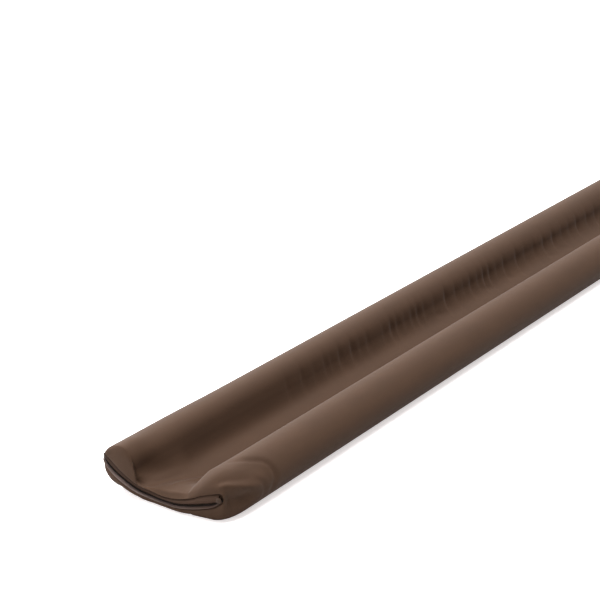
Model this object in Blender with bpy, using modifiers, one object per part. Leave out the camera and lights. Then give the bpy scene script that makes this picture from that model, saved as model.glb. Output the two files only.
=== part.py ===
"""A double draught excluder: a cloth sleeve over two foam rolls, with a flat web between them.

The door leaf stands over the web, with one roll on each side of it. The sleeve runs along X, with
the zip across its -X end and the sewn end at +X. The origin is on the floor, under the middle of
the box around the part. Sizes and tables are in millimetres; the near roll is the one at -Y.
"""

import math

import bmesh
import bpy
import numpy as np

MM = 0.001

# Driving sizes.
LENGTH = 900.0
ROLL_RADIUS = 20.0
DOOR_GAP = 45.0
WEB_TOP = 4.5
GAP = 0.3

ROLL_Y = DOOR_GAP / 2 + ROLL_RADIUS
SIDE_Y = ROLL_Y + ROLL_RADIUS
# The cloth leaves a roll this many degrees above its middle, and sweeps down to the web.
LEAVES_AT = 10.0
LEAVES = math.radians(LEAVES_AT)
VALLEY_RADIUS = (ROLL_RADIUS * (1 + math.sin(LEAVES)) - WEB_TOP) / (1 - math.sin(LEAVES))
WEB_FLAT = ROLL_Y - (ROLL_RADIUS + VALLEY_RADIUS) * math.cos(LEAVES)

# Steps along each stretch of a section.
ROLL_STEPS = 13
VALLEY_STEPS = 7
UNDER_STEPS = 6
TOP_STEPS = 2 * (ROLL_STEPS + VALLEY_STEPS)

# The side of a roll below its middle, in degrees about its axis, and the flat that it rests on.
UNDER_START = 192.0
UNDER_END = 252.0
FOOT_Y = ROLL_Y + 2.0

# The row of stitches that closes each roll's channel shows underneath as a shallow groove.
CHANNEL_Y = DOOR_GAP / 2
CHANNEL_DEPTH = 0.8
CHANNEL_HALF_WIDTH = 2.6

# The zip across the end, from the near corner to the far one: how far it lies behind the foremost
# point, and the heights of its upper seam, its slit and its lower seam.
ZIP_PATH = np.array(
    [
        # y, setback, upper, slit, lower
        (-51.0, 18.0, 26.5, 20.8, 18.0),
        (-48.0, 17.2, 26.2, 19.0, 16.0),
        (-44.0, 15.8, 25.0, 16.4, 12.9),
        (-34.0, 12.6, 21.4, 12.9, 8.8),
        (-24.0, 9.8, 16.4, 9.9, 6.1),
        (-12.0, 7.0, 12.8, 7.4, 4.2),
        (0.0, 5.5, 11.2, 6.9, 4.2),
        (12.0, 4.3, 12.0, 7.2, 4.2),
        (26.0, 1.9, 14.4, 9.6, 6.2),
        (40.0, 0.4, 21.2, 14.8, 10.6),
        (52.0, 0.7, 27.4, 19.8, 15.8),
        (57.0, 1.1, 30.0, 22.8, 19.2),
        (60.2, 1.9, 29.6, 25.4, 21.8),
        (61.8, 3.2, 28.8, 26.6, 23.4),
    ]
)
# The near and the far edge of the web at the zip, where it is pinched against the far roll.
ZIP_WEB = (-22.5, 28.0)
# How the cloth comes round to the zip: the length over which it does, how squarely it draws in
# sideways, and how squarely it drops. 1 is a straight cone, 2 is round, and 5 is nearly square.
ZIP_END_TOP = np.array(
    [
        # place along the cloth, length, draw, drop
        (0.0, 34.0, 1.4, 3.4),
        (15.0, 28.0, 1.3, 2.8),
        (31.0, 16.0, 1.3, 1.9),
        (45.0, 13.0, 1.1, 1.4),
        (63.0, 30.0, 1.1, 1.5),
        (91.5, 60.0, 1.1, 1.05),
        (112.0, 26.0, 1.6, 1.8),
        (121.4, 6.0, 2.6, 3.4),
        (134.4, 4.8, 3.6, 4.2),
        (150.4, 6.0, 3.6, 4.4),
        (182.4, 7.0, 3.0, 3.0),
    ]
)
ZIP_END_UNDER = np.array(
    [
        # y, length, draw, drop
        (-62.5, 24.0, 1.9, 4.2),
        (-48.0, 13.0, 1.7, 4.0),
        (-22.0, 6.0, 1.2, 2.4),
        (16.0, 6.0, 1.2, 2.2),
        (44.0, 16.0, 2.0, 1.9),
        (56.0, 10.0, 2.4, 2.6),
        (62.5, 7.0, 3.0, 3.0),
    ]
)
ZIP_RUN_OUT = 84.0
ZIP_RUN_OUT_RINGS = 12

# The sewn end is drawn in alike on both sides. Its seam lies low over the web.
SEWN_SEAM = np.array(
    [
        # y, setback, height
        (-56.0, 12.0, 18.0),
        (-44.0, 5.0, 14.0),
        (-26.0, 1.5, 8.5),
        (0.0, 0.0, 6.5),
        (26.0, 1.5, 8.5),
        (44.0, 5.0, 14.0),
        (56.0, 12.0, 18.0),
    ]
)
SEWN_END_TOP = np.array(
    [
        # place along the cloth, length, draw, drop
        (0.0, 30.0, 1.5, 2.2),
        (31.0, 26.0, 1.5, 2.2),
        (91.5, 24.0, 1.3, 1.3),
        (151.5, 26.0, 1.5, 2.2),
        (182.5, 30.0, 1.5, 2.2),
    ]
)
SEWN_END_UNDER = np.array(
    [
        # y, length, draw, drop
        (-62.5, 30.0, 1.5, 2.2),
        (-22.0, 9.0, 1.3, 2.0),
        (22.0, 9.0, 1.3, 2.0),
        (62.5, 30.0, 1.5, 2.2),
    ]
)
SEWN_WEB = (-22.5, 22.5)
SEAM_HALF = 0.6
SEWN_RUN_OUT = 60.0
SEWN_RUN_OUT_RINGS = 3
END_RINGS = 12

# Folds, each a soft ridge or trough over the cloth: setback, place along the cloth, height, width.
FOLDS = (
    # the step where the cloth leaves the end of the near roll's foam
    ((41, 37, -0.3, 5), (53, 28, -1.6, 5), (62, 20, -2.2, 5), (66, 10, -2.2, 5), (64, 0, -1.4, 5)),
    # a small crease low in the slack hollow between that step and the zip
    ((48, 9, -0.9, 4), (53, 4, -1.1, 4), (54, -4, -0.8, 4)),
    # the pinched edge from the near corner of the zip
    ((20, 17, 2.4, 4), (26, 12.5, 3.4, 4), (36, 8, 3.0, 4.5), (46, 4, 1.2, 4)),
    # the hollow behind the pinch between the far roll's end and its inner side
    ((5, 119, -2.4, 8), (20, 116.5, -3.4, 9), (28, 114, -2.4, 9), (44, 110, -0.6, 9)),
    # the far roll stands a little fuller towards the zip, and its inner side is pressed flatter
    ((10, 169, 0.8, 45), (60, 169, 0.8, 45)),
    ((8, 145, 1.5, 9), (160, 145, 1.5, 9), (350, 145, 0.9, 9), (600, 145, 0.3, 9)),
    ((8, 123, -2.2, 9), (160, 123, -2.2, 9), (350, 123, -1.2, 9), (600, 123, -0.4, 9)),
    ((60, 109, -1.2, 10), (160, 109, -1.4, 10), (350, 109, -0.8, 10), (600, 109, -0.2, 10)),
)
FOLD_START = 2.5

# Broad soft shapes: setback, place along the cloth, height, reach along the sleeve, reach across it.
SWELLS = (
    # the slack hollow inside the step, and the hollow side under the pinched edge
    (44, 16, -2.0, 12, 9),
    (33, -1, -3.6, 12, 7),
    # the slope from the near roll's nose to the web, and the web puffed up behind the zip
    (19, 67, 8.0, 12, 12),
    (26, 84, 5.5, 19, 13),
    (16, 100, 3.0, 15, 12),
)

# Puckers across the foot of the far roll: place along the sleeve from the zip, and depth.
PUCKERS = (
    (213, 0.6), (241, 0.5), (252, 0.8), (267, 0.6), (284, 0.9), (307, 0.5), (343, 0.9), (355, 0.8),
    (373, 0.6), (388, 1.0), (405, 0.5), (440, 0.9), (456, 0.6), (482, 0.8), (507, 1.0), (522, 1.0),
    (550, 0.6), (576, 0.5), (635, 0.8), (648, 0.8), (709, 0.7), (725, 0.6),
)  # fmt: skip
PUCKER_WIDTH = 4.0
PUCKER_MIDDLE = 122.0
PUCKER_REACH = 13.0

# The zip lies in a recess in the end of the cover. Depths are measured from the cloth's edge.
RECESS_DEPTH = 2.0
ZIP_STEPS = 46
ZIP_END_GAP = 0.8
TAPE_SIDE_GAP = 0.6
TAPE_EDGE_DEPTH = 0.6
TAPE_CROWN = 0.4
CHAIN_HALF_HEIGHT = 0.7
CHAIN_DEPTH = 0.7
SLIDER_Y = -48.2
SLIDER_RISE = 1.8
SLIDER_SIZE = (2.0, 5.6, 7.0)
SLIDER_ROUNDING = 0.7


def smooth(table, x):
    """The later columns of the table at x, on a smooth curve through its rows."""
    knots, values = table[:, 0], table[:, 1:]
    slopes = np.gradient(values, knots, axis=0)
    x = np.clip(x, knots[0], knots[-1])
    k = np.clip(np.searchsorted(knots, x, side="right") - 1, 0, len(knots) - 2)
    step = (knots[k + 1] - knots[k])[..., None]
    t = (x - knots[k])[..., None] / step
    start = (2 * t**3 - 3 * t**2 + 1) * values[k] + (t**3 - 2 * t**2 + t) * step * slopes[k]
    end = (3 * t**2 - 2 * t**3) * values[k + 1] + (t**3 - t**2) * step * slopes[k + 1]
    return start + end


def straight(table, x):
    """The later columns of the table at x, on straight runs between its rows."""
    return np.stack([np.interp(x, table[:, 0], column) for column in table.T[1:]], axis=-1)


def arc(y, z, radius, start, end, steps, outward=1.0):
    """Points on an arc without its last one, and the way the cloth faces there."""
    angle = np.radians(np.linspace(start, end, steps + 1))[:-1]
    facing = np.stack([np.cos(angle), np.sin(angle)], axis=1)
    return np.array([y, z]) + radius * facing, outward * facing


def top_section():
    """The cloth over both rolls and the web: points, facings, and places along the cloth."""
    valley_z = WEB_TOP + VALLEY_RADIUS
    runs = [
        arc(-ROLL_Y, ROLL_RADIUS, ROLL_RADIUS, 180, LEAVES_AT, ROLL_STEPS),
        arc(-WEB_FLAT, valley_z, VALLEY_RADIUS, 180 + LEAVES_AT, 270, VALLEY_STEPS, -1.0),
    ]
    points = np.concatenate([run[0] for run in runs])
    facings = np.concatenate([run[1] for run in runs])
    mirror = np.array([-1.0, 1.0])
    points = np.concatenate([points, [[0.0, WEB_TOP]], points[::-1] * mirror])
    facings = np.concatenate([facings, [[0.0, 1.0]], facings[::-1] * mirror])
    steps = np.linalg.norm(np.diff(points, axis=0), axis=1)
    return points, facings, np.concatenate([[0.0], np.cumsum(steps)])


def under_section():
    """The cloth below the rolls' middles and under the web. Places along it are below zero here."""
    near, facing = arc(-ROLL_Y, ROLL_RADIUS, ROLL_RADIUS, UNDER_START, UNDER_END, UNDER_STEPS)
    mirror = np.array([-1.0, 1.0])
    flat_y = np.linspace(-FOOT_Y, FOOT_Y, TOP_STEPS + 1 - 2 * UNDER_STEPS)
    beside = np.abs(np.abs(flat_y) - CHANNEL_Y)
    flat_z = CHANNEL_DEPTH * np.clip(1 - beside / CHANNEL_HALF_WIDTH, 0, 1)
    flat = np.stack([flat_y, flat_z], axis=1)
    points = np.concatenate([near, flat, near[::-1] * mirror])
    facings = np.concatenate([facing, np.tile([0.0, -1.0], (len(flat), 1)), facing[::-1] * mirror])
    turned = np.radians(np.linspace(UNDER_START, UNDER_END, UNDER_STEPS + 1)[:-1] - 180)
    along = np.full(len(points), -10 * ROLL_RADIUS)
    along[:UNDER_STEPS] = -ROLL_RADIUS * turned
    return points, facings, along


def rounded(x, power):
    """How far out a rounded end has come at x along it, both from 0 to 1."""
    return (1 - (1 - x) ** power) ** (1 / power)


def end_rings(points, seam, lengths, run_out, run_out_rings):
    """Rings from the seam to the full section, each an array of setback, y and z."""
    length, draw, drop = lengths.T
    rings = []
    for angle in np.linspace(0, math.pi / 2, END_RINGS + 1):
        x = 1 - math.cos(angle) ** (2 / drop)
        out = np.stack([rounded(x, draw), rounded(x, drop)], axis=1)
        across = seam[:, 1:] + (points - seam[:, 1:]) * out
        rings.append(np.column_stack([seam[:, 0] + length * x, across]))
    last = rings[-1][:, 0]
    for share in np.linspace(0, 1, run_out_rings + 1)[1:]:
        rings.append(np.column_stack([last + (run_out - last) * share, points]))
    return rings


def seam_points(points, path, web, height):
    """Where the cloth at each point of the section meets a seam along a path, at heights from it."""
    places = (points[0, 0], -DOOR_GAP / 2, DOOR_GAP / 2, points[-1, 0])
    y = np.interp(points[:, 0], places, (path[0, 0], *web, path[-1, 0]))
    seam = smooth(path, y)
    return np.column_stack([seam[:, 0], y, height(seam)])


def fold_height(x, along):
    """How far the folds lift the cloth, at a setback and a place along it."""
    total = np.zeros(np.shape(x))
    for fold in FOLDS:
        nearest = np.full(np.shape(x), np.inf)
        lift = np.zeros(np.shape(x))
        for (x0, along0, height0, width0), (x1, along1, height1, width1) in zip(fold, fold[1:]):
            run_x, run_along = x1 - x0, along1 - along0
            t = ((x - x0) * run_x + (along - along0) * run_along) / (run_x**2 + run_along**2)
            t = np.clip(t, 0, 1)
            away = np.hypot(x - x0 - t * run_x, along - along0 - t * run_along)
            width = width0 + (width1 - width0) * t
            here = (height0 + (height1 - height0) * t) * np.exp(-((away / width) ** 2))
            lift = np.where(away < nearest, here, lift)
            nearest = np.minimum(nearest, away)
        total += lift
    return total


def swell_height(x, along):
    """How far the broad shapes lift the cloth, at a setback and a place along it."""
    total = np.zeros(np.shape(x))
    for setback, place, height, reach, across in SWELLS:
        total += height * np.exp(-(((x - setback) / reach) ** 2) - ((along - place) / across) ** 2)
    return total


def pucker_depth(x, along):
    """How deep the puckers draw the cloth in at the foot of the far roll."""
    foot = np.exp(-(((along - PUCKER_MIDDLE) / PUCKER_REACH) ** 2))
    return sum(depth * foot * np.exp(-(((x - place) / PUCKER_WIDTH) ** 2)) for place, depth in PUCKERS)


def cover_half(section, zip_lengths, zip_height, sewn_lengths, sewn_height):
    """One half of the cover's rings, over the top or underneath, with its folds."""
    points, facings, along = section
    seam = seam_points(points, ZIP_PATH, ZIP_WEB, zip_height)
    rings = end_rings(points, seam, zip_lengths, ZIP_RUN_OUT, ZIP_RUN_OUT_RINGS)
    places = [place for place, _ in PUCKERS]
    between = [(a + b) / 2 for a, b in zip(places, places[1:])]
    for x in sorted(places + between + [2 * places[0] - between[0], 2 * places[-1] - between[-1]]):
        rings.append(np.column_stack([np.full(len(points), x), points]))
    seam = seam_points(points, SEWN_SEAM, SEWN_WEB, sewn_height)
    for ring in reversed(end_rings(points, seam, sewn_lengths, SEWN_RUN_OUT, SEWN_RUN_OUT_RINGS)):
        rings.append(ring * [-1, 1, 1] + [LENGTH, 0, 0])

    seam = rings[0][:, 0]
    for ring in rings:
        x = ring[:, 0]
        begun = np.clip((x - seam) / FOLD_START, 0, 1)
        lift = fold_height(x, along) + swell_height(x, along) - pucker_depth(x, along)
        ring[:, 1:] += facings * (begun * lift)[:, None]
        ring[:, 2] = ring[:, 2].clip(0)
    return rings


def zip_facing(y):
    """The way that the zip faces at places across the sleeve."""
    before = np.maximum(y - 0.5, ZIP_PATH[0, 0])
    after = np.minimum(y + 0.5, ZIP_PATH[-1, 0])
    turn = (smooth(ZIP_PATH, after)[..., 0] - smooth(ZIP_PATH, before)[..., 0]) / (after - before)
    facing = np.stack([-np.ones_like(turn), turn, np.zeros_like(turn)], axis=-1)
    return facing / np.linalg.norm(facing, axis=-1, keepdims=True)


def cover_rings():
    """The cover's rings, from the floor of the zip's recess to the sewn seam."""
    top, under = top_section(), under_section()
    over = cover_half(
        top,
        straight(ZIP_END_TOP, top[2]),
        lambda seam: seam[:, 1],
        straight(SEWN_END_TOP, top[2]),
        lambda seam: seam[:, 1] + SEAM_HALF,
    )
    below = cover_half(
        under,
        straight(ZIP_END_UNDER, under[0][:, 0]),
        lambda seam: seam[:, 3],
        straight(SEWN_END_UNDER, under[0][:, 0]),
        lambda seam: seam[:, 1] - SEAM_HALF,
    )
    rings = [np.concatenate([upper, lower[::-1]]) for upper, lower in zip(over, below)]
    recess = rings[0] - RECESS_DEPTH * zip_facing(rings[0][:, 1])
    return [recess] + rings


def zip_places():
    """Places across the sleeve at even steps along the slit, short of both ends of its recess."""
    y = np.linspace(ZIP_PATH[0, 0], ZIP_PATH[-1, 0], 500)
    slit = np.column_stack([smooth(ZIP_PATH, y)[:, [0, 2]], y])
    run = np.concatenate([[0.0], np.cumsum(np.linalg.norm(np.diff(slit, axis=0), axis=1))])
    return np.interp(np.linspace(ZIP_END_GAP, run[-1] - ZIP_END_GAP, ZIP_STEPS + 1), run, y)


def zip_strip_rings(section):
    """Rings along the slit, with a section of (height from the slit, depth) at each place."""
    y = zip_places()
    path, facing = smooth(ZIP_PATH, y), zip_facing(y)
    rings = []
    for k in range(len(y)):
        slit = np.array([path[k, 0], y[k], path[k, 2]])
        corners = section(path[k, 1] - path[k, 2], path[k, 3] - path[k, 2])
        rings.append(np.array([slit + [0, 0, height] - depth * facing[k] for height, depth in corners]))
    return rings


def tape_section(low, high):
    """A tape between two heights, crowned between its sunken edges."""
    back = RECESS_DEPTH - GAP
    middle = (low + high) / 2
    shoulder = (high - low) / 4
    shoulder_depth = 0.3 * TAPE_EDGE_DEPTH - 0.7 * TAPE_CROWN
    return [
        (low, back),
        (low, TAPE_EDGE_DEPTH),
        (middle - shoulder, shoulder_depth),
        (middle, -TAPE_CROWN),
        (middle + shoulder, shoulder_depth),
        (high, TAPE_EDGE_DEPTH),
        (high, back),
    ]


def chain_section(upper, lower):
    """The chain fills the slit between the tapes."""
    back = RECESS_DEPTH - GAP
    half = CHAIN_HALF_HEIGHT
    return [(-half, back), (-half, CHAIN_DEPTH), (half, CHAIN_DEPTH), (half, back)]


def ladder_cap(count):
    """Cap faces between the upper and the lower half of a ring."""
    return [[i, i + 1, count - 2 - i, count - 1 - i] for i in range(count // 2 - 1)]


def plain_cap(count):
    """A cap of one face."""
    return [list(range(count))]


def finish(name, colour, roughness, metallic=0.0):
    """A plain material of that colour."""
    material = bpy.data.materials.new(name)
    material.use_nodes = True
    shader = material.node_tree.nodes["Principled BSDF"]
    shader.inputs["Base Color"].default_value = (*colour, 1.0)
    shader.inputs["Roughness"].default_value = roughness
    shader.inputs["Metallic"].default_value = metallic
    return material


def add(name, mesh, material):
    """An object of the part from a mesh, shaded smooth but for its hard edges."""
    mesh.materials.append(material)
    mesh.shade_smooth()
    mesh.set_sharp_from_angle(angle=math.radians(40))
    made = bpy.data.objects.new(name, mesh)
    part.objects.link(made)
    return made


def loft(name, rings, cap, material):
    """A closed body through rings of setback, y and z."""
    points = np.concatenate(rings) + [-LENGTH / 2, 0, 0]
    count = len(rings[0])
    faces = []
    for start in range(0, len(points) - count, count):
        for i in range(count):
            j = (i + 1) % count
            faces.append([start + i, start + j, start + count + j, start + count + i])
    for start in (0, len(points) - count):
        faces += [[start + i for i in corners] for corners in cap(count)]
    mesh = bpy.data.meshes.new(name)
    mesh.from_pydata((points * MM).tolist(), [], faces)
    body = bmesh.new()
    body.from_mesh(mesh)
    bmesh.ops.recalc_face_normals(body, faces=body.faces)
    body.to_mesh(mesh)
    body.free()
    return add(name, mesh, material)


def block(name, size, material):
    """A block of that size about the origin, before it is placed."""
    mesh = bpy.data.meshes.new(name)
    body = bmesh.new()
    bmesh.ops.create_cube(body, size=1)
    bmesh.ops.scale(body, vec=np.array(size) * MM, verts=body.verts)
    body.to_mesh(mesh)
    body.free()
    return add(name, mesh, material)


def zip_slider(material):
    """The slider at the closed end of the zip: a rounded plate over the chain."""
    slider = block("zip_slider", SLIDER_SIZE, material)
    rounding = slider.modifiers.new("rounding", "BEVEL")
    rounding.width = SLIDER_ROUNDING * MM
    rounding.segments = 3

    place = np.array([SLIDER_Y])
    facing = zip_facing(place)[0]
    setback, _, slit, _ = smooth(ZIP_PATH, place)[0]
    out = TAPE_CROWN + GAP + SLIDER_SIZE[0] / 2
    middle = np.array([setback - LENGTH / 2, SLIDER_Y, slit + SLIDER_RISE]) + out * facing
    slider.location = middle * MM
    slider.rotation_euler.z = math.atan2(-facing[1], -facing[0])


for old in list(bpy.data.objects):
    bpy.data.objects.remove(old)
part = bpy.data.collections.new("draught_excluder")
bpy.context.scene.collection.children.link(part)

loft("cover", cover_rings(), ladder_cap, finish("cover_cloth", (0.105, 0.068, 0.048), 0.85))

tape = finish("zip_tape", (0.075, 0.05, 0.037), 0.8)
edge = CHAIN_HALF_HEIGHT + GAP
upper_tape = zip_strip_rings(lambda upper, lower: tape_section(edge, upper - TAPE_SIDE_GAP))
lower_tape = zip_strip_rings(lambda upper, lower: tape_section(lower + TAPE_SIDE_GAP, -edge))
loft("zip_tape_upper", upper_tape, plain_cap, tape)
loft("zip_tape_lower", lower_tape, plain_cap, tape)
loft("zip_chain", zip_strip_rings(chain_section), plain_cap, finish("zip_chain", (0.03, 0.02, 0.015), 0.45))
zip_slider(finish("zip_slider", (0.05, 0.035, 0.027), 0.4, 0.3))
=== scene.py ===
"""A double draught excluder: one cloth sleeve over two foam rolls, with a flat web between them.

It lies on the floor, and the bottom of a door stands over the web between the rolls. The sleeve runs
along X, with the zip across its -X end and a sewn seam across its +X end. Sizes and tables are in
millimetres, and the near roll is the one at -Y.
"""

import math

import bpy
import numpy as np
from mathutils import Matrix, Vector


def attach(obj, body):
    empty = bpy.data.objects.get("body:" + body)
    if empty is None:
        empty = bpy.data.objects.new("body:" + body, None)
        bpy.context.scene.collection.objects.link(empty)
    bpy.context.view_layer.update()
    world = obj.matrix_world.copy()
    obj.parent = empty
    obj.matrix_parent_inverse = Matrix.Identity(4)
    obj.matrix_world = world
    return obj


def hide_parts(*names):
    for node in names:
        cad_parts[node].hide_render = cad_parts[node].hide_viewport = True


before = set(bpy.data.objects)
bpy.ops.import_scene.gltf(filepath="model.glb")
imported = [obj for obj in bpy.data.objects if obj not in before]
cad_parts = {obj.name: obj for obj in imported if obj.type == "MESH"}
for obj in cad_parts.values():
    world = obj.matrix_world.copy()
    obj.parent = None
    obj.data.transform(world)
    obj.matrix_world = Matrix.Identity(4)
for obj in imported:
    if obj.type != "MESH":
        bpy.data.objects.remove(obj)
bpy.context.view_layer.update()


# The sleeve: one cloth of smooth brushed microfibre round two rolls of soft foam, sewn through
# between them to leave a flat web. The far roll fills its end. The near roll's foam stops short of
# the zip, so that its cloth goes slack there, with a step, a hollow and a pinched edge.

MM = 0.001
LENGTH = 900.0
ROLL_RADIUS = 20.0
DOOR_GAP = 45.0
WEB_TOP = 4.5
ROLL_Y = DOOR_GAP / 2 + ROLL_RADIUS
SIDE_Y = ROLL_Y + ROLL_RADIUS
# The cloth leaves a roll this many degrees above its middle, and sweeps down to the web.
LEAVES_AT = 10.0
LEAVES = math.radians(LEAVES_AT)
VALLEY_RADIUS = (ROLL_RADIUS * (1 + math.sin(LEAVES)) - WEB_TOP) / (1 - math.sin(LEAVES))
WEB_FLAT = ROLL_Y - (ROLL_RADIUS + VALLEY_RADIUS) * math.cos(LEAVES)

# Steps along each stretch of a section, and the flat that a roll rests on.
ROLL_STEPS = 46
VALLEY_STEPS = 25
SIDE_STEPS = 15
FLAT_STEPS = 33
SIDE_END = 258.0
FOOT_Y = ROLL_Y + 2.0

# The row of stitches that closes each roll's channel lies in a shallow groove underneath.
CHANNEL_Y = DOOR_GAP / 2
CHANNEL_DEPTH = 0.8
CHANNEL_HALF_WIDTH = 2.0

# The zip across the end, from the near corner to the far one: how far it lies behind the foremost
# point, and the heights of its upper seam, its slit and its lower seam.
ZIP_PATH = np.array(
    [
        # y, setback, upper, slit, lower
        (-51.0, 18.0, 26.5, 20.8, 18.0),
        (-48.0, 17.2, 26.2, 19.0, 16.0),
        (-44.0, 15.8, 25.0, 16.4, 12.9),
        (-34.0, 12.6, 21.4, 12.9, 8.8),
        (-24.0, 9.8, 16.4, 9.9, 6.1),
        (-12.0, 7.0, 12.8, 7.4, 4.2),
        (0.0, 5.5, 11.2, 6.9, 4.2),
        (12.0, 4.3, 12.0, 7.2, 4.2),
        (26.0, 1.9, 14.4, 9.6, 6.2),
        (40.0, 0.4, 21.2, 14.8, 10.6),
        (52.0, 0.7, 27.4, 19.8, 15.8),
        (57.0, 1.1, 30.0, 22.8, 19.2),
        (60.2, 1.9, 29.6, 25.4, 21.8),
        (61.8, 3.2, 28.8, 26.6, 23.4),
    ]
)
# The near and the far edge of the web at the zip, where it is pinched against the far roll.
ZIP_WEB = (-22.5, 28.0)
# How the cloth comes round to the zip: the length over which it does, how squarely it draws in
# sideways, and how squarely it drops. 1 is a straight cone, 2 is round, and 5 is nearly square.
ZIP_END_TOP = np.array(
    [
        # place along the cloth, length, draw, drop
        (0.0, 34.0, 1.4, 3.4),
        (15.0, 28.0, 1.3, 2.8),
        (31.0, 19.0, 1.3, 1.9),
        (45.0, 18.0, 1.1, 1.4),
        (63.0, 30.0, 1.1, 1.5),
        (91.5, 60.0, 1.1, 1.05),
        (112.0, 26.0, 1.6, 1.8),
        (121.4, 6.0, 2.6, 3.4),
        (134.4, 4.8, 3.6, 4.2),
        (150.4, 6.0, 3.6, 4.4),
        (182.4, 7.0, 3.0, 3.0),
    ]
)
ZIP_END_UNDER = np.array(
    [
        # y, length, draw, drop
        (-62.5, 34.0, 1.4, 3.4),
        (-57.0, 20.0, 1.8, 4.1),
        (-48.0, 13.0, 1.7, 4.0),
        (-22.0, 6.0, 1.2, 2.4),
        (16.0, 6.0, 1.2, 2.2),
        (44.0, 16.0, 2.0, 1.9),
        (56.0, 10.0, 2.4, 2.6),
        (62.5, 7.0, 3.0, 3.0),
    ]
)
# The rings of the end itself, how far the ones beyond it go back, and their number.
ZIP_RINGS = (44, 84.0, 40)

# The sewn end is drawn in alike on both sides. Its seam lies low over the web.
SEWN_SEAM = np.array(
    [
        # y, setback, height
        (-56.0, 12.0, 18.0),
        (-44.0, 5.0, 14.0),
        (-26.0, 1.5, 8.5),
        (0.0, 0.0, 6.5),
        (26.0, 1.5, 8.5),
        (44.0, 5.0, 14.0),
        (56.0, 12.0, 18.0),
    ]
)
SEWN_END_TOP = np.array(
    [
        # place along the cloth, length, draw, drop
        (0.0, 30.0, 1.5, 2.2),
        (31.0, 26.0, 1.5, 2.2),
        (91.5, 24.0, 1.3, 1.3),
        (151.5, 26.0, 1.5, 2.2),
        (182.5, 30.0, 1.5, 2.2),
    ]
)
SEWN_END_UNDER = np.array(
    [
        # y, length, draw, drop
        (-62.5, 30.0, 1.5, 2.2),
        (-22.0, 9.0, 1.3, 2.0),
        (22.0, 9.0, 1.3, 2.0),
        (62.5, 30.0, 1.5, 2.2),
    ]
)
SEWN_WEB = (-22.5, 22.5)
SEWN_RINGS = (20, 60.0, 5)
# Half the thickness of the sewn seam.
SEAM_HALF = 0.3

# Folds, each a soft ridge or trough over the cloth: setback, place along the cloth, height, width.
FOLDS = (
    # the step where the cloth leaves the end of the near roll's foam, and the lip beyond it
    ((41, 37, -0.3, 3), (48, 32, -0.8, 2.6), (53, 28, -1.1, 2.4), (58, 24, -1.2, 2.4),
     (62.5, 20, -1.3, 2.4), (65.5, 15, -1.4, 2.5), (67, 8, -1.4, 2.6), (67, 2, -1.0, 2.8),
     (63, -5, -0.6, 3)),
    ((43, 32, -0.4, 6), (49, 26, -1.0, 6), (55, 20, -1.4, 6), (59, 13, -1.4, 6), (61, 6, -1.2, 6),
     (60, 0, -0.6, 6)),
    # a small crease low in the slack hollow between that step and the zip
    ((48, 9, -0.9, 3.5), (53, 4, -1.1, 3.5), (54, -4, -0.8, 3)),
    # the trough under the crest, and the pinched edge from the near corner of the zip
    ((18, 28, -0.4, 3.5), (22, 21, -0.7, 3.5), (28, 16, -0.5, 3.5), (38, 12, -0.2, 3)),
    ((20, 17, 1.8, 3.5), (26, 12.5, 2.6, 4), (36, 8, 2.4, 4.5), (46, 4, 1.0, 4)),
    # a tucked fold down the corner under the zip's near end
    ((22, 8, -0.6, 3.2), (23, 2, -1.4, 3.4), (23.5, -6, -1.6, 3.4), (24, -13, -1.2, 3.2)),
    # the pinch between the far roll's end and its inner side, and the hollow behind it
    ((3.4, 143, -0.8, 2.2), (3.2, 136, -1.8, 2.2), (3, 127, -2.2, 2.4), (3.4, 119, -1.8, 2.4),
     (8, 111, -0.8, 3)),
    ((5, 119, -2.4, 8), (20, 115, -3.8, 9.5), (30, 112.5, -3.0, 10), (48, 109, -0.8, 10)),
    # two soft wrinkles across the web behind the zip
    ((19, 114, 0.4, 2.4), (28, 112.8, 0.4, 2.4), (38, 111.5, 0.3, 2.4), (48, 110.3, 0.1, 2.4)),
    ((19, 108.6, -0.5, 2.2), (30, 107.4, -0.5, 2.2), (42, 106.2, -0.2, 2.2)),
    # the far roll stands a little fuller towards the zip, and its inner side is pressed flatter
    ((10, 169, 0.8, 45), (60, 169, 0.8, 45)),
    ((8, 145, 0.8, 9), (160, 145, 0.7, 9), (350, 145, 0.3, 9), (600, 145, 0.0, 9)),
    ((8, 128, -2.4, 9), (160, 128, -2.4, 9), (350, 126, -1.6, 9), (600, 125, -0.9, 9)),
    ((60, 111, -3.0, 10), (160, 110.5, -3.5, 10), (350, 109, -2.0, 10), (600, 108, -1.2, 10)),
    # shallow wrinkles that drag over the web from the puckers
    ((404, 115, -0.1, 2.4), (420, 112, -0.4, 2.4), (436, 108, -0.1, 2.4)),
    ((494, 114, -0.1, 2.4), (512, 109, -0.4, 2.4), (529, 103, -0.1, 2.4)),
    ((541, 113, -0.1, 2.4), (550, 108, -0.4, 2.4), (559, 101, -0.1, 2.4)),
    ((566, 108, -0.1, 2.4), (574, 105, -0.4, 2.4), (582, 102, -0.1, 2.4)),
    ((620, 109, -0.1, 2.4), (632, 105, -0.4, 2.4), (644, 101, -0.1, 2.4)),
    ((651, 107, -0.1, 2.4), (661, 104, -0.4, 2.4), (671, 101, -0.1, 2.4)),
)
# The folds and swells come in over this length from the zip's seam and the sewn one.
FOLD_START = 2.5

# Broad soft shapes: setback, place along the cloth, height, reach along the sleeve, reach across it.
SWELLS = (
    # the slack hollow inside the step, and the hollow side under the pinched edge
    (44, 16, -2.0, 12, 9),
    (33, -1, -3.6, 12, 7),
    # the slope from the near roll's nose to the web, and the web puffed up behind the zip
    (18, 73, 5.4, 19, 18),
    (26, 92, 3.4, 24, 20),
    (16, 102, 1.6, 18, 15),
    # the far roll's inner side sinks in behind its end, under a slightly fuller crown
    (13, 126, -3.6, 13, 10),
    (12, 150, 2.0, 14, 8),
)

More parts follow.
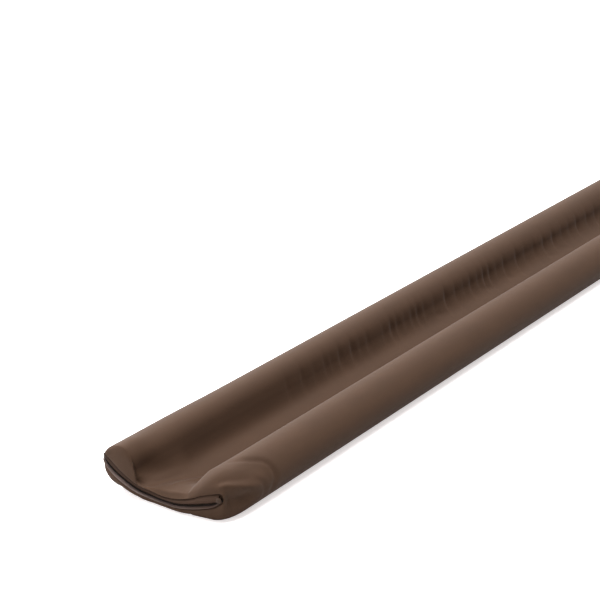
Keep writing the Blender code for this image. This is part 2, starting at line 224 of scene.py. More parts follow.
# Puckers across the foot of the far roll, drawn up by the stitches: place along the sleeve, depth.
PUCKERS = (
    (190, 0.7), (211, 1.0), (228, 0.5), (244, 1.0), (253, 0.7), (266, 1.4), (284, 1.6), (296, 0.7),
    (308, 1.0), (333, 0.8), (346, 1.8), (356, 1.4), (368, 0.7), (380, 1.4), (390, 1.8), (401, 1.0),
    (418, 0.7), (438, 1.7), (456, 1.0), (471, 0.7), (484, 1.4), (498, 1.0), (509, 1.8), (520, 1.7),
    (533, 0.7), (548, 1.3), (573, 1.3), (590, 0.7), (608, 0.9), (628, 1.3), (648, 1.4), (668, 0.8),
    (684, 0.7), (702, 1.4), (725, 1.0), (744, 0.8), (768, 0.9), (790, 0.7),
)
PUCKER_REACH = 14.0
# The cloth drops into a pucker over a little less than it rises from it.
PUCKER_DROP = 3.0
PUCKER_RISE = 4.0
# Where they cross the foot: setback, place along the cloth.
PUCKER_MIDDLES = np.array([(190.0, 124.0), (420.0, 119.5), (700.0, 115.5)])
# The rings of the sleeve between its ends: how far the first lies from the zipped end's rings, their
# spacing, where more lie beside each pucker, and the least distance between two.
FIRST_RING = 4.0
RING_SPACING = 9.0
PUCKER_RINGS = np.array([-5.2, -3.4, -1.7, 0.0, 1.9, 3.8, 5.8])
RING_LEAST = 0.9

# The cloth's edge is rolled in over the zip's tapes: the radius of that roll, the share of it at which
# the cloth turns in, and the length over which it fades. The recess behind it holds the tapes. The two
# edges of its mouth part gradually over the near corner.
EDGE_ROLL = 0.45
EDGE_TURN = 0.3
EDGE_FADE = 1.6
RECESS_DEPTH = 2.2
NEAR_CORNER = 9.0
# The way that the zip faces is measured this far to either side.
FACING_REACH = 0.5


def smooth(table, x):
    """The later columns of the table at x, on a smooth curve through its rows."""
    knots, values = table[:, 0], table[:, 1:]
    slopes = np.gradient(values, knots, axis=0)
    x = np.clip(x, knots[0], knots[-1])
    k = np.clip(np.searchsorted(knots, x, side="right") - 1, 0, len(knots) - 2)
    step = (knots[k + 1] - knots[k])[..., None]
    t = (x - knots[k])[..., None] / step
    start = (2 * t**3 - 3 * t**2 + 1) * values[k] + (t**3 - 2 * t**2 + t) * step * slopes[k]
    end = (3 * t**2 - 2 * t**3) * values[k + 1] + (t**3 - t**2) * step * slopes[k + 1]
    return start + end


def straight(table, x):
    """The later columns of the table at x, on straight runs between its rows."""
    return np.stack([np.interp(x, table[:, 0], column) for column in table.T[1:]], axis=-1)


def arc(y, z, radius, angles, outward=1.0):
    """Points on an arc at angles in degrees, and the way the cloth faces there."""
    angles = np.radians(angles)
    facing = np.stack([np.cos(angles), np.sin(angles)], axis=1)
    return np.array([y, z]) + radius * facing, outward * facing


def top_section():
    """The cloth over both rolls and the web: points, facings, and places along the cloth."""
    over = np.linspace(180, LEAVES_AT, ROLL_STEPS + 1)
    down = np.linspace(180 + LEAVES_AT, 270, VALLEY_STEPS + 1)[1:]
    valley_z = WEB_TOP + VALLEY_RADIUS
    runs = [
        arc(-ROLL_Y, ROLL_RADIUS, ROLL_RADIUS, over),
        arc(-WEB_FLAT, valley_z, VALLEY_RADIUS, down, -1.0),
    ]
    points = np.concatenate([run[0] for run in runs])
    facings = np.concatenate([run[1] for run in runs])
    mirror = np.array([-1.0, 1.0])
    points = np.concatenate([points, points[::-1] * mirror])
    facings = np.concatenate([facings, facings[::-1] * mirror])
    steps = np.linalg.norm(np.diff(points, axis=0), axis=1)
    return points, facings, np.concatenate([[0.0], np.cumsum(steps)])


def under_section(last_place):
    """The cloth below the rolls' middles, from the near side to the far one.

    Places along it are below zero on the near half, and run on from last_place on the far half.
    """
    angles = np.linspace(180, SIDE_END, SIDE_STEPS + 1)[1:]
    near, facing = arc(-ROLL_Y, ROLL_RADIUS, ROLL_RADIUS, angles)
    mirror = np.array([-1.0, 1.0])
    flat_y = np.linspace(-FOOT_Y, FOOT_Y, FLAT_STEPS + 1)
    beside = (np.abs(flat_y) - CHANNEL_Y) / CHANNEL_HALF_WIDTH
    flat = np.stack([flat_y, CHANNEL_DEPTH * np.exp(-(beside**2))], axis=1)
    points = np.concatenate([near, flat, near[::-1] * mirror])
    facings = np.concatenate([facing, np.tile([0.0, -1.0], (len(flat), 1)), facing[::-1] * mirror])
    start = np.array([[-SIDE_Y, ROLL_RADIUS]])
    steps = np.linalg.norm(np.diff(points, axis=0, prepend=start), axis=1)
    along = -np.cumsum(steps)
    far_half = points[:, 0] > 0
    along[far_half] = last_place + along[far_half] - along[-1] + steps[0]
    return points, facings, along


def rounded(x, power):
    """How far out a rounded end has come at x along it, both from 0 to 1."""
    return (1 - (1 - x) ** power) ** (1 / power)


def end_rings(points, seam, lengths, counts):
    """Rings from the seam to the full section and beyond: setback, y and z of every point."""
    end_count, run_out, run_out_count = counts
    length, draw, drop = lengths.T
    rings = []
    for angle in np.linspace(0, math.pi / 2, end_count + 1):
        x = 1 - math.cos(angle) ** (2 / drop)
        out = np.stack([rounded(x, draw), rounded(x, drop)], axis=1)
        across = seam[:, 1:] + (points - seam[:, 1:]) * out
        rings.append(np.column_stack([seam[:, 0] + length * x, across]))
    last = rings[-1][:, 0]
    for share in np.linspace(0, 1, run_out_count + 1)[1:]:
        rings.append(np.column_stack([last + (run_out - last) * share, points]))
    return rings


def seam_points(points, path, web, height):
    """Where the cloth at each point of the section meets a seam along a path, at heights from it."""
    places = (points[0, 0], -DOOR_GAP / 2, DOOR_GAP / 2, points[-1, 0])
    y = np.interp(points[:, 0], places, (path[0, 0], *web, path[-1, 0]))
    seam = smooth(path, y)
    return np.column_stack([seam[:, 0], y, height(seam)])


def fold_height(folds, x, along):
    """How far folds lift the cloth, at a setback and a place along it."""
    total = np.zeros(np.shape(x))
    for fold in folds:
        nearest = np.full(np.shape(x), np.inf)
        lift = np.zeros(np.shape(x))
        for (x0, along0, height0, width0), (x1, along1, height1, width1) in zip(fold, fold[1:]):
            run_x, run_along = x1 - x0, along1 - along0
            t = ((x - x0) * run_x + (along - along0) * run_along) / (run_x**2 + run_along**2)
            t = np.clip(t, 0, 1)
            away = np.hypot(x - x0 - t * run_x, along - along0 - t * run_along)
            width = width0 + (width1 - width0) * t
            here = (height0 + (height1 - height0) * t) * np.exp(-((away / width) ** 2))
            lift = np.where(away < nearest, here, lift)
            nearest = np.minimum(nearest, away)
        total += lift
    return total


def swell_height(x, along):
    """How far the broad shapes lift the cloth, at a setback and a place along it."""
    total = np.zeros(np.shape(x))
    for setback, place, height, reach, across in SWELLS:
        total += height * np.exp(-(((x - setback) / reach) ** 2) - ((along - place) / across) ** 2)
    return total


def pucker_depth(x, along):
    """How deep the puckers draw the cloth in at the foot of the far roll."""
    foot = np.exp(-(((along - straight(PUCKER_MIDDLES, x)[..., 0]) / PUCKER_REACH) ** 2))
    total = np.zeros(np.shape(x))
    for place, depth in PUCKERS:
        width = np.where(x < place, PUCKER_DROP, PUCKER_RISE)
        total += depth * foot * np.exp(-(((x - place) / width) ** 2))
    return total


def rings_between_ends():
    """Places of the rings between both ends, at an even spacing and closer at every pucker."""
    even = np.arange(ZIP_RINGS[1] + FIRST_RING, LENGTH - SEWN_RINGS[1], RING_SPACING)
    near = np.array([place for place, _ in PUCKERS])[:, None] + PUCKER_RINGS
    kept = []
    for x in np.sort(np.concatenate([even, near.ravel()])):
        if not kept or x - kept[-1] > RING_LEAST:
            kept.append(x)
    return kept


def sleeve_half(section, zip_lengths, zip_height, sewn_lengths, sewn_height, side):
    """One half of the sleeve's rings, over the top (side 1) or underneath (side -1), with its folds."""
    points, facings, along = section
    seam = seam_points(points, ZIP_PATH, ZIP_WEB, zip_height)
    sewn_seam = seam_points(points, SEWN_SEAM, SEWN_WEB, sewn_height)
    rings = end_rings(points, seam, zip_lengths, ZIP_RINGS)
    rings += [np.column_stack([np.full(len(points), x), points]) for x in rings_between_ends()]
    sewn = end_rings(points, sewn_seam, sewn_lengths, SEWN_RINGS)
    rings += [ring * [-1, 1, 1] + [LENGTH, 0, 0] for ring in reversed(sewn)]
    rings = np.array(rings)

    x = rings[..., 0]
    behind = x - x[0]
    lift = fold_height(FOLDS, x, along) + swell_height(x, along) - pucker_depth(x, along)
    rings[..., 1:] += facings * (np.clip(behind / FOLD_START, 0, 1) * lift)[..., None]
    rings[..., 2] += side * EDGE_ROLL * np.exp(-behind / EDGE_FADE)
    rings[..., 2] = rings[..., 2].clip(0)
    return rings, seam


def zip_facing(y):
    """The way that the zip faces at places across the sleeve."""
    before = np.maximum(y - FACING_REACH, ZIP_PATH[0, 0])
    after = np.minimum(y + FACING_REACH, ZIP_PATH[-1, 0])
    turn = (smooth(ZIP_PATH, after)[..., 0] - smooth(ZIP_PATH, before)[..., 0]) / (after - before)
    facing = np.stack([-np.ones_like(turn), turn, np.zeros_like(turn)], axis=-1)
    return facing / np.linalg.norm(facing, axis=-1, keepdims=True)


def cap_faces(over, under):
    """Triangles between two rows of point numbers that start and end side by side."""
    faces = []
    i = j = 0
    while i < len(over) - 1 or j < len(under) - 1:
        if i * (len(under) - 1) <= j * (len(over) - 1):
            faces.append([over[i], over[i + 1], under[j]])
            i += 1
        else:
            faces.append([over[i], under[j + 1], under[j]])
            j += 1
    return faces


def new_mesh(name, points, faces):
    """A smooth mesh through points given by their setback, y and z in millimetres."""
    mesh = bpy.data.meshes.new(name)
    mesh.from_pydata(((np.array(points) + [-LENGTH / 2, 0, 0]) * MM).tolist(), [], faces)
    mesh.shade_smooth()
    return mesh


def lay_cloth(mesh, corners):
    """Keeps each face corner's place on the flat cloth, in metres, for the nap or weave to follow."""
    places = mesh.attributes.new("cloth_place", "FLOAT_VECTOR", "CORNER")
    places.data.foreach_set("vector", (np.asarray(corners) * MM).astype(np.float32).ravel())


def mouth_heights(column, along):
    """The heights of one edge of the zip's mouth, from a column of the seam's values."""

    def heights(seam):
        middle = (seam[:, 1] + seam[:, 3]) / 2
        return middle + (seam[:, column] - middle) * np.clip(np.abs(along) / NEAR_CORNER, 0, 1)

    return heights


def sleeve_mesh():
    """The whole closed sleeve, from the floor of the zip's recess to the sewn seam."""
    top = top_section()
    under = under_section(top[2][-1])
    over, over_seam = sleeve_half(
        top,
        straight(ZIP_END_TOP, top[2]),
        mouth_heights(1, top[2]),
        straight(SEWN_END_TOP, top[2]),
        lambda seam: seam[:, 1] + SEAM_HALF,
        1,
    )
    below, below_seam = sleeve_half(
        under,
        straight(ZIP_END_UNDER, under[0][:, 0]),
        mouth_heights(3, under[2]),
        straight(SEWN_END_UNDER, under[0][:, 0]),
        lambda seam: seam[:, 1] - SEAM_HALF,
        -1,
    )
    rings = np.concatenate([over, below[:, ::-1]], axis=1)
    seam = np.concatenate([over_seam, below_seam[::-1]])
    facing = zip_facing(seam[:, 1])
    rise = np.zeros_like(seam)
    rise[: len(over_seam), 2] = EDGE_ROLL
    rise[len(over_seam) :, 2] = -EDGE_ROLL
    floor_of_recess = seam - RECESS_DEPTH * facing
    rolled_in = seam - EDGE_ROLL * facing
    turned_in = seam - EDGE_TURN * EDGE_ROLL * (facing - rise)
    rings = np.concatenate([[floor_of_recess, rolled_in, turned_in], rings])

    along = np.concatenate([top[2], under[2][::-1]])
    beyond = np.roll(along, -1)
    count = len(along)
    jump = np.argmin(beyond - along)
    beyond[jump] = along[jump] + along[jump] - along[jump - 1]

    faces, corners = [], []
    for k in range(len(rings) - 1):
        for i in range(count):
            j = (i + 1) % count
            faces.append([k * count + i, (k + 1) * count + i, (k + 1) * count + j, k * count + j])
            x = rings[[k, k + 1, k + 1, k], [i, i, j, j], 0]
            corners += zip(x, (along[i], along[i], beyond[i], beyond[i]), (0, 0, 0, 0))
    first = np.arange(count)
    for numbers in (first, first + (len(rings) - 1) * count):
        caps = cap_faces(list(numbers[: len(top[2])]), list(numbers[: len(top[2]) - 1 : -1]))
        faces += [face[::-1] for face in caps] if numbers[0] else caps
        corners += [(0, 0, 0)] * (3 * len(caps))

    mesh = new_mesh("sleeve", rings.reshape(-1, 3), faces)
    lay_cloth(mesh, corners)
    return mesh


def new_group(name, inputs, outputs):
    """A node group with those inputs, each with a type and a value, and those outputs."""
    group = bpy.data.node_groups.new(name, "ShaderNodeTree")
    for label, kind, value in inputs:
        made = group.interface.new_socket(label, in_out="INPUT", socket_type=kind)
        if value is not None:
            made.default_value = value
    for label, kind in outputs:
        group.interface.new_socket(label, in_out="OUTPUT", socket_type=kind)
    return group


def node(tree, kind, values=(), links=(), **settings):
    """A node in the tree, with its settings, its sockets' values and what feeds its sockets."""
    made = tree.nodes.new(kind)
    for name, value in settings.items():
        setattr(made, name, value)
    for socket, value in dict(values).items():
        made.inputs[socket].default_value = value
    for socket, source in dict(links).items():
        tree.links.new(source, made.inputs[socket])
    return made


def brushed_cloth():
    """A group for brushed cloth: its short nap, and the faint uneven shade of the brushing."""
    group = new_group(
        "brushed_cloth",
        [
            ("Place", "NodeSocketVector", None),
            ("Nap per metre", "NodeSocketFloat", 1500.0),
            ("Brushing per metre", "NodeSocketFloat", 60.0),
        ],
        [("Nap", "NodeSocketFloat"), ("Shade", "NodeSocketFloat")],
    )
    source = node(group, "NodeGroupInput").outputs
    nap = node(
        group,
        "ShaderNodeTexNoise",
        {"Detail": 3.0, "Roughness": 0.6},
        {"Vector": source["Place"], "Scale": source["Nap per metre"]},
    )
    along = node(
        group,
        "ShaderNodeVectorMath",
        {1: (0.35, 1.0, 1.0)},
        {0: source["Place"]},
        operation="MULTIPLY",
    )
    brushing = node(
        group,
        "ShaderNodeTexNoise",
        {"Detail": 4.0, "Roughness": 0.55},
        {"Vector": along.outputs[0], "Scale": source["Brushing per metre"]},
    )
    result = node(group, "NodeGroupOutput")
    group.links.new(nap.outputs["Fac"], result.inputs["Nap"])
    group.links.new(brushing.outputs["Fac"], result.inputs["Shade"])
    return group


def new_material(name, roughness):
    """A material with that name, its node tree and its shader."""
    material = bpy.data.materials.new(name)
    material.use_nodes = True
    shader = material.node_tree.nodes["Principled BSDF"]
    shader.inputs["Roughness"].default_value = roughness
    return material, material.node_tree, shader


def two_colours(tree, source, first, second):
    """A ramp from one colour to another, driven by the source."""
    colours = node(tree, "ShaderNodeValToRGB", links={"Fac": source})
    for element, colour in zip(colours.color_ramp.elements, (first, second)):
        element.color = (*colour, 1.0)
    return colours


def sleeve_finish():
    """Dark taupe microfibre: matt, with a soft pale sheen where it turns away."""
    material, tree, shader = new_material("dark_taupe_microfibre", 0.8)
    place = node(tree, "ShaderNodeAttribute", attribute_name="cloth_place")
    cloth = node(tree, "ShaderNodeGroup", node_tree=brushed_cloth())
    tree.links.new(place.outputs["Vector"], cloth.inputs["Place"])
    shade = node(
        tree,
        "ShaderNodeMath",
        {1: 0.25},
        {0: cloth.outputs["Nap"], 2: cloth.outputs["Shade"]},
        operation="MULTIPLY_ADD",
    )
    colours = two_colours(tree, shade.outputs[0], (0.051, 0.0255, 0.0135), (0.061, 0.0305, 0.0162))
    colours.color_ramp.elements[0].position = 0.35
    colours.color_ramp.elements[1].position = 0.9
    bump = node(
        tree,
        "ShaderNodeBump",
        {"Strength": 0.35, "Distance": 0.00015},
        {"Height": cloth.outputs["Nap"]},
    )
    tree.links.new(colours.outputs["Color"], shader.inputs["Base Color"])
    tree.links.new(bump.outputs["Normal"], shader.inputs["Normal"])
    shader.inputs["Specular IOR Level"].default_value = 0.24
    shader.inputs["Sheen Weight"].default_value = 0.1
    shader.inputs["Sheen Roughness"].default_value = 0.3
    shader.inputs["Sheen Tint"].default_value = (1.0, 1.0, 1.0, 1.0)
    return material


def add(name, mesh, material, node_name=None):
    """A piece of the part that stands for a CAD node, with its material."""
    mesh.materials.append(material)
    piece = bpy.data.objects.new(name, mesh)
    bpy.context.scene.collection.objects.link(piece)
    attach(piece, "root")
    if node_name:
        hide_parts(node_name)
    return piece


sleeve = add("sleeve", sleeve_mesh(), sleeve_finish(), "cover")


# The stitches underneath: a row of strong spun thread along each side of the web, sewn through both
# layers of the sleeve, that closes the channel of each roll.

STITCHED_FROM = 16.0
STITCHED_TO = LENGTH - STITCHED_FROM
STITCH_PITCH = 3.2
STITCH_LENGTH = 2.5
# How far a stitch bows out of the groove, and how much thinner it is where it goes into the cloth.
STITCH_BOW = 0.3
STITCH_TAPER = 0.5
STITCH_RINGS = 5
THREAD_RADIUS = 0.19
THREAD_SIDES = 6


def circle(sides):
    """Angles at even steps round a circle."""
    return np.arange(sides) * 2 * math.pi / sides


def tube_faces(rings, count, first=0):
    """The faces of a closed tube: rings of count points each, numbered on from first, and both ends."""
    last = first + (rings - 1) * count
    faces = []
    for ring in range(first, last, count):
        for i in range(count):
            j = (i + 1) % count
            faces.append([ring + i, ring + j, ring + count + j, ring + count + i])
    faces.append(list(range(first, first + count))[::-1])
    faces.append(list(range(last, last + count)))
    return faces


def stitches_mesh():
    """Every stitch as a short bowed length of thread, low in the channel's groove."""
    points, faces = [], []
    for y in (-CHANNEL_Y, CHANNEL_Y):
        for middle in np.arange(STITCHED_FROM, STITCHED_TO, STITCH_PITCH):
            faces += tube_faces(STITCH_RINGS, THREAD_SIDES, len(points))
            for share in np.linspace(-1, 1, STITCH_RINGS):
                bow = STITCH_BOW * (1 - share**2)
                centre = np.array([middle + STITCH_LENGTH * share / 2, y, CHANNEL_DEPTH - bow])
                thick = THREAD_RADIUS * (1 - STITCH_TAPER * share**4)
                for angle in circle(THREAD_SIDES):
                    points.append(centre + thick * np.array([0, math.cos(angle), math.sin(angle)]))
    return new_mesh("channel_stitches", points, faces)


def thread_finish():
    """Spun thread a little lighter than the cloth, with the lay of its twist."""
    material, tree, shader = new_material("taupe_thread", 0.65)
    place = node(tree, "ShaderNodeTexCoord")
    twist = node(
        tree,
        "ShaderNodeTexWave",
        {"Scale": 700.0, "Distortion": 1.0},
        {"Vector": place.outputs["Object"]},
        bands_direction="DIAGONAL",
    )
    colours = two_colours(tree, twist.outputs["Fac"], (0.075, 0.04, 0.024), (0.115, 0.065, 0.041))
    tree.links.new(colours.outputs["Color"], shader.inputs["Base Color"])
    shader.inputs["Specular IOR Level"].default_value = 0.3
    return material


add("channel_stitches", stitches_mesh(), thread_finish())


# The zip's tapes: narrow woven polyester, sewn in under the rolled edges of the sleeve above and
# below the slit. Each lies crowned between its sunken edges.

# The zip starts and ends this far inside the mouth, and the tapes start further in, at the slider.
ZIP_END_GAP = 0.8
TAPE_NEAR_END = 4.6
# Steps along the slit: to measure it by, and along a tape.
SLIT_STEPS = 500
TAPE_RINGS = 231
# How deep a tape's back and its edges lie behind the slit, and how squarely it is crowned.
TAPE_BACK = 1.7
TAPE_EDGE_DEPTH = 1.3
TAPE_CROWN = 2.2
TAPE_STEPS = 10
TAPE_SHARP = math.radians(50)
# The coil between them, and the gap that each tape leaves beside it.
COIL_HALF_HEIGHT = 0.7
COIL_GAP = 0.3
TAPES = np.array(
    [
        # y, gap beside the cloth's edge, how proud the upper tape stands, how proud the lower one
        (-51.0, 1.5, 0.3, 0.5),
        (-47.0, 1.3, 0.3, 0.6),
        (-38.0, 0.6, 0.7, 0.8),
        (-26.0, 0.6, 1.0, 0.8),
        (-10.0, 0.6, 0.5, 0.8),
        (10.0, 0.6, 0.1, 0.8),
        (25.0, 0.6, -0.7, 0.9),
        (50.0, 0.6, -0.5, 0.9),
        (62.0, 0.6, 0.0, 0.8),
    ]
)


def zip_run(count, near_gap=ZIP_END_GAP):
    """Places across the sleeve at even steps along the slit, and how far along it each one is."""
    y = np.linspace(ZIP_PATH[0, 0], ZIP_PATH[-1, 0], SLIT_STEPS)
    slit = np.column_stack([smooth(ZIP_PATH, y)[:, [0, 2]], y])
    run = np.concatenate([[0.0], np.cumsum(np.linalg.norm(np.diff(slit, axis=0), axis=1))])
    places = np.linspace(near_gap, run[-1] - ZIP_END_GAP, count)
    return np.interp(places, run, y), places


def strip_mesh(name, section):
    """A closed strip along the slit, with a section of (height from the slit, depth) all along."""
    y, run = zip_run(TAPE_RINGS, TAPE_NEAR_END)
    path, facing = smooth(ZIP_PATH, y), zip_facing(y)
    rings = []
    for k in range(len(y)):
        slit = np.array([path[k, 0], y[k], path[k, 2]])
        corners = section(path[k, 1] - path[k, 2], path[k, 3] - path[k, 2], straight(TAPES, y[k]))
        rings.append([slit + [0, 0, height] - depth * facing[k] for height, depth in corners])
    rings = np.array(rings)
    count = rings.shape[1]
    around = np.linalg.norm(np.diff(rings, axis=1), axis=2).cumsum(axis=1)
    around = np.column_stack([np.zeros(len(rings)), around])
    places = []
    for k in range(len(rings) - 1):
        for i in range(count):
            j = (i + 1) % count
            places += [(run[k], around[k, i], 0), (run[k], around[k, j], 0)]
            places += [(run[k + 1], around[k, j], 0), (run[k + 1], around[k, i], 0)]
    places += [(0, 0, 0)] * (2 * count)
    mesh = new_mesh(name, rings.reshape(-1, 3), tube_faces(len(rings), count))
    lay_cloth(mesh, places)
    mesh.set_sharp_from_angle(angle=TAPE_SHARP)
    return mesh


def tape_section(low, high, crown):
    """A tape between two heights, crowned between its sunken edges."""
    corners = [(low, TAPE_BACK)]
    for share in np.linspace(-1, 1, TAPE_STEPS + 1):
        height = (low + high) / 2 + share * (high - low) / 2
        proud = (TAPE_EDGE_DEPTH + crown) * (1 - abs(share) ** TAPE_CROWN)
        corners.append((height, TAPE_EDGE_DEPTH - proud))
    return corners + [(high, TAPE_BACK)]


def tape_with_painted_light(name, near, far, sheen):
    """Woven tape, with fine ribs across it, and painted light and shade: its colour runs from one value
    at the near end to another at the far end.
    """
    material, tree, shader = new_material(name, 0.7)
    place = node(tree, "ShaderNodeAttribute", attribute_name="cloth_place")
    ribs = node(
        tree,
        "ShaderNodeTexWave",
        {"Scale": 420.0, "Distortion": 0.6, "Detail": 1.0},
        {"Vector": place.outputs["Vector"]},
        bands_direction="X",
    )
    run = node(tree, "ShaderNodeSeparateXYZ", links={0: place.outputs["Vector"]})
    share = node(
        tree,
        "ShaderNodeMapRange",
        {"From Min": 0.02, "From Max": 0.085},
        {"Value": run.outputs["X"]},
    )
    colours = two_colours(tree, share.outputs["Result"], near, far)
    depth = node(
        tree,
        "ShaderNodeMapRange",
        {"To Min": 0.75, "To Max": 1.2},
        {"Value": ribs.outputs["Fac"]},
    )
    woven = node(
        tree,
        "ShaderNodeVectorMath",
        links={0: colours.outputs["Color"], "Scale": depth.outputs["Result"]},
        operation="SCALE",
    )
    bump = node(
        tree,
        "ShaderNodeBump",
        {"Strength": 0.5, "Distance": 0.0001},
        {"Height": ribs.outputs["Fac"]},
    )
    tree.links.new(woven.outputs["Vector"], shader.inputs["Base Color"])
    tree.links.new(bump.outputs["Normal"], shader.inputs["Normal"])
    shader.inputs["Specular IOR Level"].default_value = 0.12
    shader.inputs["Sheen Weight"].default_value = sheen
    return material


def upper_section(upper, lower, tapes):
    """The upper tape, from the coil up to the gap under the sleeve's edge."""
    return tape_section(COIL_HALF_HEIGHT + COIL_GAP, upper - tapes[0], tapes[1])


def lower_section(upper, lower, tapes):
    """The lower tape, from the gap over the sleeve's edge up to the coil."""
    return tape_section(lower + tapes[0], -COIL_HALF_HEIGHT - COIL_GAP, tapes[2])


# The upper tape is painted darker towards its far end, a painted shade for the shadow of the sleeve's
# rolled edge over it there.
upper_mesh = strip_mesh("upper_tape", upper_section)
upper_tape_painted_shade = tape_with_painted_light("woven_tape_painted_shade", (0.062, 0.034, 0.022), (0.04, 0.021, 0.013), 0.0)
add("upper_tape", upper_mesh, upper_tape_painted_shade, "zip_tape_upper")

# The lower tape stands a little prouder, and is painted paler, most at its far end, for the light that
# the white floor throws up on it.
lower_mesh = strip_mesh("lower_tape", lower_section)
lower_tape_painted_light = tape_with_painted_light("tape_painted_floor_light", (0.082, 0.05, 0.038), (0.19, 0.138, 0.122), 0.08)
add("lower_tape", lower_mesh, lower_tape_painted_light, "zip_tape_lower")


# The zip's coil: two rows of bent nylon teeth that hook into each other behind the slit, closed all
# the way across.

TOOTH_PITCH = 1.1
TOOTH_RADIUS = 0.34
TOOTH_REACH = 0.95
# How deep the teeth lie behind the slit, how far each leans along it, how far it arches out, how
# bluntly it ends, and the least share of its section that is left there.
TOOTH_DEPTH = 1.25
TOOTH_LEAN = 0.28
TOOTH_ARCH = 0.35
TOOTH_BLUNTNESS = 6
TOOTH_TIP = 0.02
TOOTH_SIDES = 8
TOOTH_RINGS = 9


def coil_mesh():
    """Every tooth as a small arched rod across the slit, from the upper row and the lower in turn."""
    _, run = zip_run(2)
    count = int((run[-1] - run[0]) / TOOTH_PITCH)
    y, _ = zip_run(count)
    path, facing = smooth(ZIP_PATH, y), zip_facing(y)
    points, faces = [], []
    for k in range(count):
        out = facing[k]
        along = np.array([out[1], -out[0], 0.0])
        middle = np.array([path[k, 0], y[k], path[k, 2]]) - TOOTH_DEPTH * out
        lean = (TOOTH_LEAN if k % 2 else -TOOTH_LEAN) * along
        faces += tube_faces(TOOTH_RINGS, TOOTH_SIDES, len(points))
        for share in np.linspace(-1, 1, TOOTH_RINGS):
            arch = TOOTH_ARCH * (1 - share**2) * out
            centre = middle + np.array([0, 0, TOOTH_REACH * share]) + lean * share + arch
            thick = TOOTH_RADIUS * math.sqrt(max(1 - abs(share) ** TOOTH_BLUNTNESS, TOOTH_TIP))
            for angle in circle(TOOTH_SIDES):
                points.append(centre + thick * (math.cos(angle) * along + math.sin(angle) * out))
    return new_mesh("coil", points, faces)


def coil_finish():
    """Dark nylon, a little shiny, with faint marks from drawing."""
    material, tree, shader = new_material("nylon_coil", 0.55)
    place = node(tree, "ShaderNodeTexCoord")
    marks = node(tree, "ShaderNodeTexNoise", {"Scale": 900.0}, {"Vector": place.outputs["Object"]})
    colours = two_colours(tree, marks.outputs["Fac"], (0.005, 0.0032, 0.0024), (0.011, 0.007, 0.005))
    tree.links.new(colours.outputs["Color"], shader.inputs["Base Color"])
    shader.inputs["Specular IOR Level"].default_value = 0.15
    return material


add("coil", coil_mesh(), coil_finish(), "zip_chain")


# The slider: a small rounded plate, painted to match, that stands over the coil at the near end,
# where the zip ends closed.

# Where it stands: across the sleeve, above the slit, and out from it.
SLIDER_Y = -47.8
SLIDER_RISE = 2.4
SLIDER_STANDS_OUT = 0.7
# How thick, wide and tall it is, how square (2 is round), and how much narrower towards its top.
SLIDER_SIZE = (2.0, 4.5, 4.7)
SLIDER_SQUARENESS = 2.6
SLIDER_TAPER = 0.16
SLIDER_RINGS = 26
SLIDER_SIDES = 56


def squared(value):
    """A sine or cosine pushed outwards, so that the round that it draws comes out squarer."""
    return math.copysign(abs(value) ** (2 / SLIDER_SQUARENESS), value)


def slider_mesh():
    """A cushion-shaped plate, a little narrower towards its top."""
    thick, wide, tall = np.array(SLIDER_SIZE) / 2
    points = []
    for tilt in np.linspace(-math.pi / 2, math.pi / 2, SLIDER_RINGS + 2)[1:-1]:
        for angle in np.linspace(-math.pi, math.pi, SLIDER_SIDES + 1)[:-1]:
            up = squared(math.cos(tilt)) * squared(math.sin(angle))
            side = squared(math.cos(tilt)) * squared(math.cos(angle)) * (1 - SLIDER_TAPER * up)
            points.append((thick * squared(math.sin(tilt)), wide * side, tall * up))
    place = np.array([SLIDER_Y])
    facing = zip_facing(place)[0]
    along = np.array([-facing[1], facing[0], 0.0])
    setback, _, slit, _ = smooth(ZIP_PATH, place)[0]
    middle = np.array([setback, SLIDER_Y, slit + SLIDER_RISE]) + (SLIDER_STANDS_OUT + thick) * facing
    turned = np.array(points) @ np.array([facing, along, (0.0, 0.0, 1.0)]) + middle
    return new_mesh("slider", turned, tube_faces(SLIDER_RINGS, SLIDER_SIDES))


def slider_finish():
    """Satin paint over cast metal, rubbed a little paler here and there."""
    material, tree, shader = new_material("painted_slider", 0.38)
    place = node(tree, "ShaderNodeTexCoord")
    wear = node(
        tree,
        "ShaderNodeTexNoise",
        {"Scale": 500.0, "Detail": 3.0},
        {"Vector": place.outputs["Object"]},
    )
    colours = two_colours(tree, wear.outputs["Fac"], (0.036, 0.021, 0.014), (0.066, 0.041, 0.029))
    tree.links.new(colours.outputs["Color"], shader.inputs["Base Color"])
    shader.inputs["Specular IOR Level"].default_value = 0.1
    return material


add("slider", slider_mesh(), slider_finish(), "zip_slider")


# The studio: a plain white floor, soft light from high behind the far roll and all round, and the
# camera at the photograph's place.

FLOOR_HALF = 12.0
# The floor lies a hair below the sleeve, so that the two surfaces never coincide.
FLOOR_Z = -0.0002
FLOOR_GLOW = (0.64, 0.605, 0.6, 1.0)
# How bright the floor and the world are, for the sleeve and for the camera.
FLOOR_SHADES = (0.52, 0.95)
WORLD_SHADES = (0.06, 0.95)


def seen_shade(tree, shades):
    """One value for what lights the part, and another for what the camera sees."""
    seen = node(tree, "ShaderNodeLightPath").outputs["Is Camera Ray"]
    shade = node(tree, "ShaderNodeMapRange", {"To Min": shades[0], "To Max": shades[1]}, {"Value": seen})
    return seen, shade.outputs["Result"]


floor = bpy.data.meshes.new("floor")
corners = [(-1, -1), (1, -1), (1, 1), (-1, 1)]
floor.from_pydata([(FLOOR_HALF * x, FLOOR_HALF * y, 0) for x, y in corners], [], [(0, 1, 2, 3)])
white, white_tree, white_shader = new_material("white_floor", 0.9)
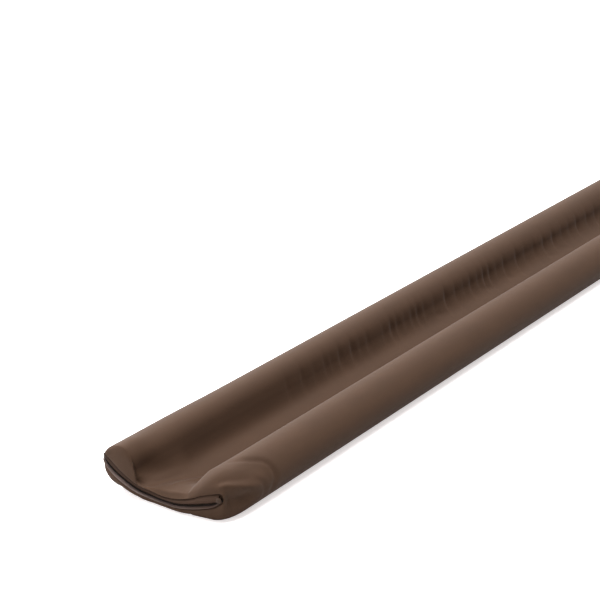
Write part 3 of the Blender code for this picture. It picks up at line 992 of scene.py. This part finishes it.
# The photograph's ground is white nearly up to the sleeve, so the camera sees the floor brighter than
# the sleeve does, and a little lit from within.
seen, shade = seen_shade(white_tree, FLOOR_SHADES)
white_shader.inputs["Emission Color"].default_value = FLOOR_GLOW
white_tree.links.new(seen, white_shader.inputs["Emission Strength"])
white_tree.links.new(shade, white_shader.inputs["Base Color"])
floor.materials.append(white)
floor = bpy.data.objects.new("floor", floor)
bpy.context.scene.collection.objects.link(floor)
floor.location.z = FLOOR_Z

# The camera sees the world as pale as the floor, and the sleeve gets only a little light from it.
world = bpy.data.worlds.new("studio")
world.use_nodes = True
background = world.node_tree.nodes["Background"]
background.inputs["Color"].default_value = (1.0, 1.0, 1.0, 1.0)
_, shade = seen_shade(world.node_tree, WORLD_SHADES)
world.node_tree.links.new(shade, background.inputs["Strength"])
bpy.context.scene.world = world

# Each soft light: where it comes from, its strength, and how wide it is in degrees.
SOFT_LIGHTS = {
    "high_light": ((0.3, -0.06, 1.0), 5.6, 48),
    "back_light": ((0.3, 0.88, 0.46), 3.7, 40),
    "left_light": ((-0.6, 0.92, 0.36), 1.8, 36),
    "end_light": ((-1.0, -0.02, 0.24), 1.6, 50),
}
for name, (comes_from, strength, width) in SOFT_LIGHTS.items():
    light = bpy.data.lights.new(name, "SUN")
    light.energy = strength
    light.angle = math.radians(width)
    light = bpy.data.objects.new(name, light)
    bpy.context.scene.collection.objects.link(light)
    light.rotation_mode = "QUATERNION"
    light.rotation_quaternion = Vector(comes_from).to_track_quat("Z", "Y")

scene = bpy.context.scene
scene.view_settings.view_transform = "Standard"
scene.view_settings.look = "None"

CAMERA_AT = (-1.1305, -0.681, 0.608)
CAMERA_TILT = math.radians(24.12)
CAMERA_HEADING = math.radians(38.52)
CAMERA_LENS = 87.0
CAMERA_SENSOR = 36.0

lens = bpy.data.cameras.new("camera")
lens.lens = CAMERA_LENS
lens.sensor_width = CAMERA_SENSOR
camera = bpy.data.objects.new("camera", lens)
scene.collection.objects.link(camera)
ahead = Vector((math.cos(CAMERA_HEADING), math.sin(CAMERA_HEADING), 0.0))
forward = ahead * math.cos(CAMERA_TILT) - Vector((0.0, 0.0, math.sin(CAMERA_TILT)))
right = Vector((ahead.y, -ahead.x, 0.0))
turn = Matrix((right, right.cross(forward), -forward)).transposed().to_4x4()
camera.matrix_world = Matrix.Translation(CAMERA_AT) @ turn
scene.camera = camera
